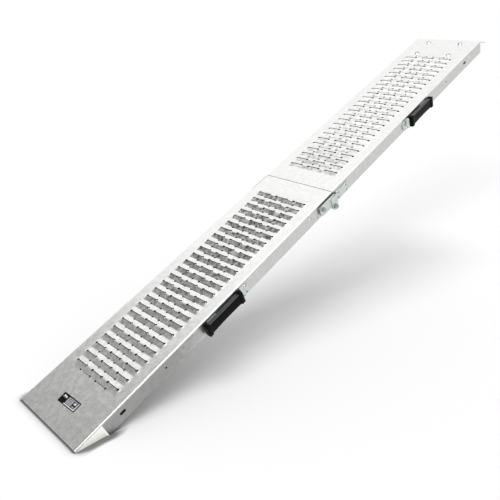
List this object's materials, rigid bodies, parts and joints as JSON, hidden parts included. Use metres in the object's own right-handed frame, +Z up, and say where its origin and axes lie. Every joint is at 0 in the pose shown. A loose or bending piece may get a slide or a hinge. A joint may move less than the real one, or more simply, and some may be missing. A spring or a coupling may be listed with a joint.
{
  "type": "folding loading ramp",
  "caption": "Folding ramp of two perforated steel planks, hinged in the middle, with a top lip and carrying handles.",
  "frame": {"origin": "on the ground under the middle of the open ramp: half its length, half its width, at the level of the low end's cut sides", "axes": "+X horizontally up the ramp from its low end to its lip, +Y across it to the left when walking up, +Z up; the handles are on the -Y side"},
  "size_m": [1.802, 0.2994, 0.909],
  "materials": {
    "galvanised_steel": "hot-dip galvanised sheet with a fine spangle, satin",
    "zinc_plate": "zinc-plated plate, smooth satin with a faint blue-green cast",
    "zinc_fastener": "bright zinc-plated fasteners",
    "black_grip": "black moulded plastic, satin",
    "label_film": "printed plastic film, black border and pale panel, no lettering"
  },
  "bodies": {
    "lower_half": {"lower_deck": "galvanised_steel", "backing_rivet_left_1": "zinc_fastener", "backing_rivet_left_2": "zinc_fastener", "backing_rivet_left_3": "zinc_fastener", "backing_rivet_right_1": "zinc_fastener", "backing_rivet_right_2": "zinc_fastener", "backing_rivet_right_3": "zinc_fastener", "clamp_bolt_left": "zinc_fastener", "clamp_bolt_right": "zinc_fastener", "clamp_nut_left": "zinc_fastener", "clamp_nut_right": "zinc_fastener", "hinge_backing_plate_left": "zinc_plate", "hinge_backing_plate_right": "zinc_plate", "hinge_spacer_left": "zinc_fastener", "hinge_spacer_right": "zinc_fastener", "label": "label_film", "lower_handle_grip": "black_grip", "lower_handle_rivet_1": "zinc_fastener", "lower_handle_rivet_2": "zinc_fastener", "lower_handle_rivet_3": "zinc_fastener", "lower_handle_rivet_4": "zinc_fastener", "lower_handle_rivet_5": "zinc_fastener", "lower_handle_strap": "zinc_plate", "lower_hinge_plate_left": "zinc_plate", "lower_hinge_plate_right": "zinc_plate", "pivot_bolt_left": "zinc_fastener", "pivot_bolt_right": "zinc_fastener", "pivot_nut_left": "zinc_fastener", "pivot_nut_right": "zinc_fastener"},
    "upper_half": {"upper_deck": "galvanised_steel", "hinge_rivet_left_1": "zinc_fastener", "hinge_rivet_left_2": "zinc_fastener", "hinge_rivet_left_3": "zinc_fastener", "hinge_rivet_left_4": "zinc_fastener", "hinge_rivet_right_1": "zinc_fastener", "hinge_rivet_right_2": "zinc_fastener", "hinge_rivet_right_3": "zinc_fastener", "hinge_rivet_right_4": "zinc_fastener", "lip_bolt_1": "zinc_fastener", "lip_bolt_2": "zinc_fastener", "lip_bolt_3": "zinc_fastener", "lip_bolt_4": "zinc_fastener", "lip_nut_1": "zinc_fastener", "lip_nut_2": "zinc_fastener", "lip_nut_3": "zinc_fastener", "lip_nut_4": "zinc_fastener", "lip_plate": "zinc_plate", "upper_handle_grip": "black_grip", "upper_handle_rivet_1": "zinc_fastener", "upper_handle_rivet_2": "zinc_fastener", "upper_handle_rivet_3": "zinc_fastener", "upper_handle_rivet_4": "zinc_fastener", "upper_handle_rivet_5": "zinc_fastener", "upper_handle_strap": "zinc_plate", "upper_hinge_plate_left": "zinc_plate", "upper_hinge_plate_right": "zinc_plate"}
  },
  "joints": [
    {"name": "fold", "type": "hinge", "parent": "lower_half", "child": "upper_half", "pos_m": [-0.01779, 0.00095, 0.41245], "axis": [0, 1, 0], "range_deg": [0, 180]}
  ]
}
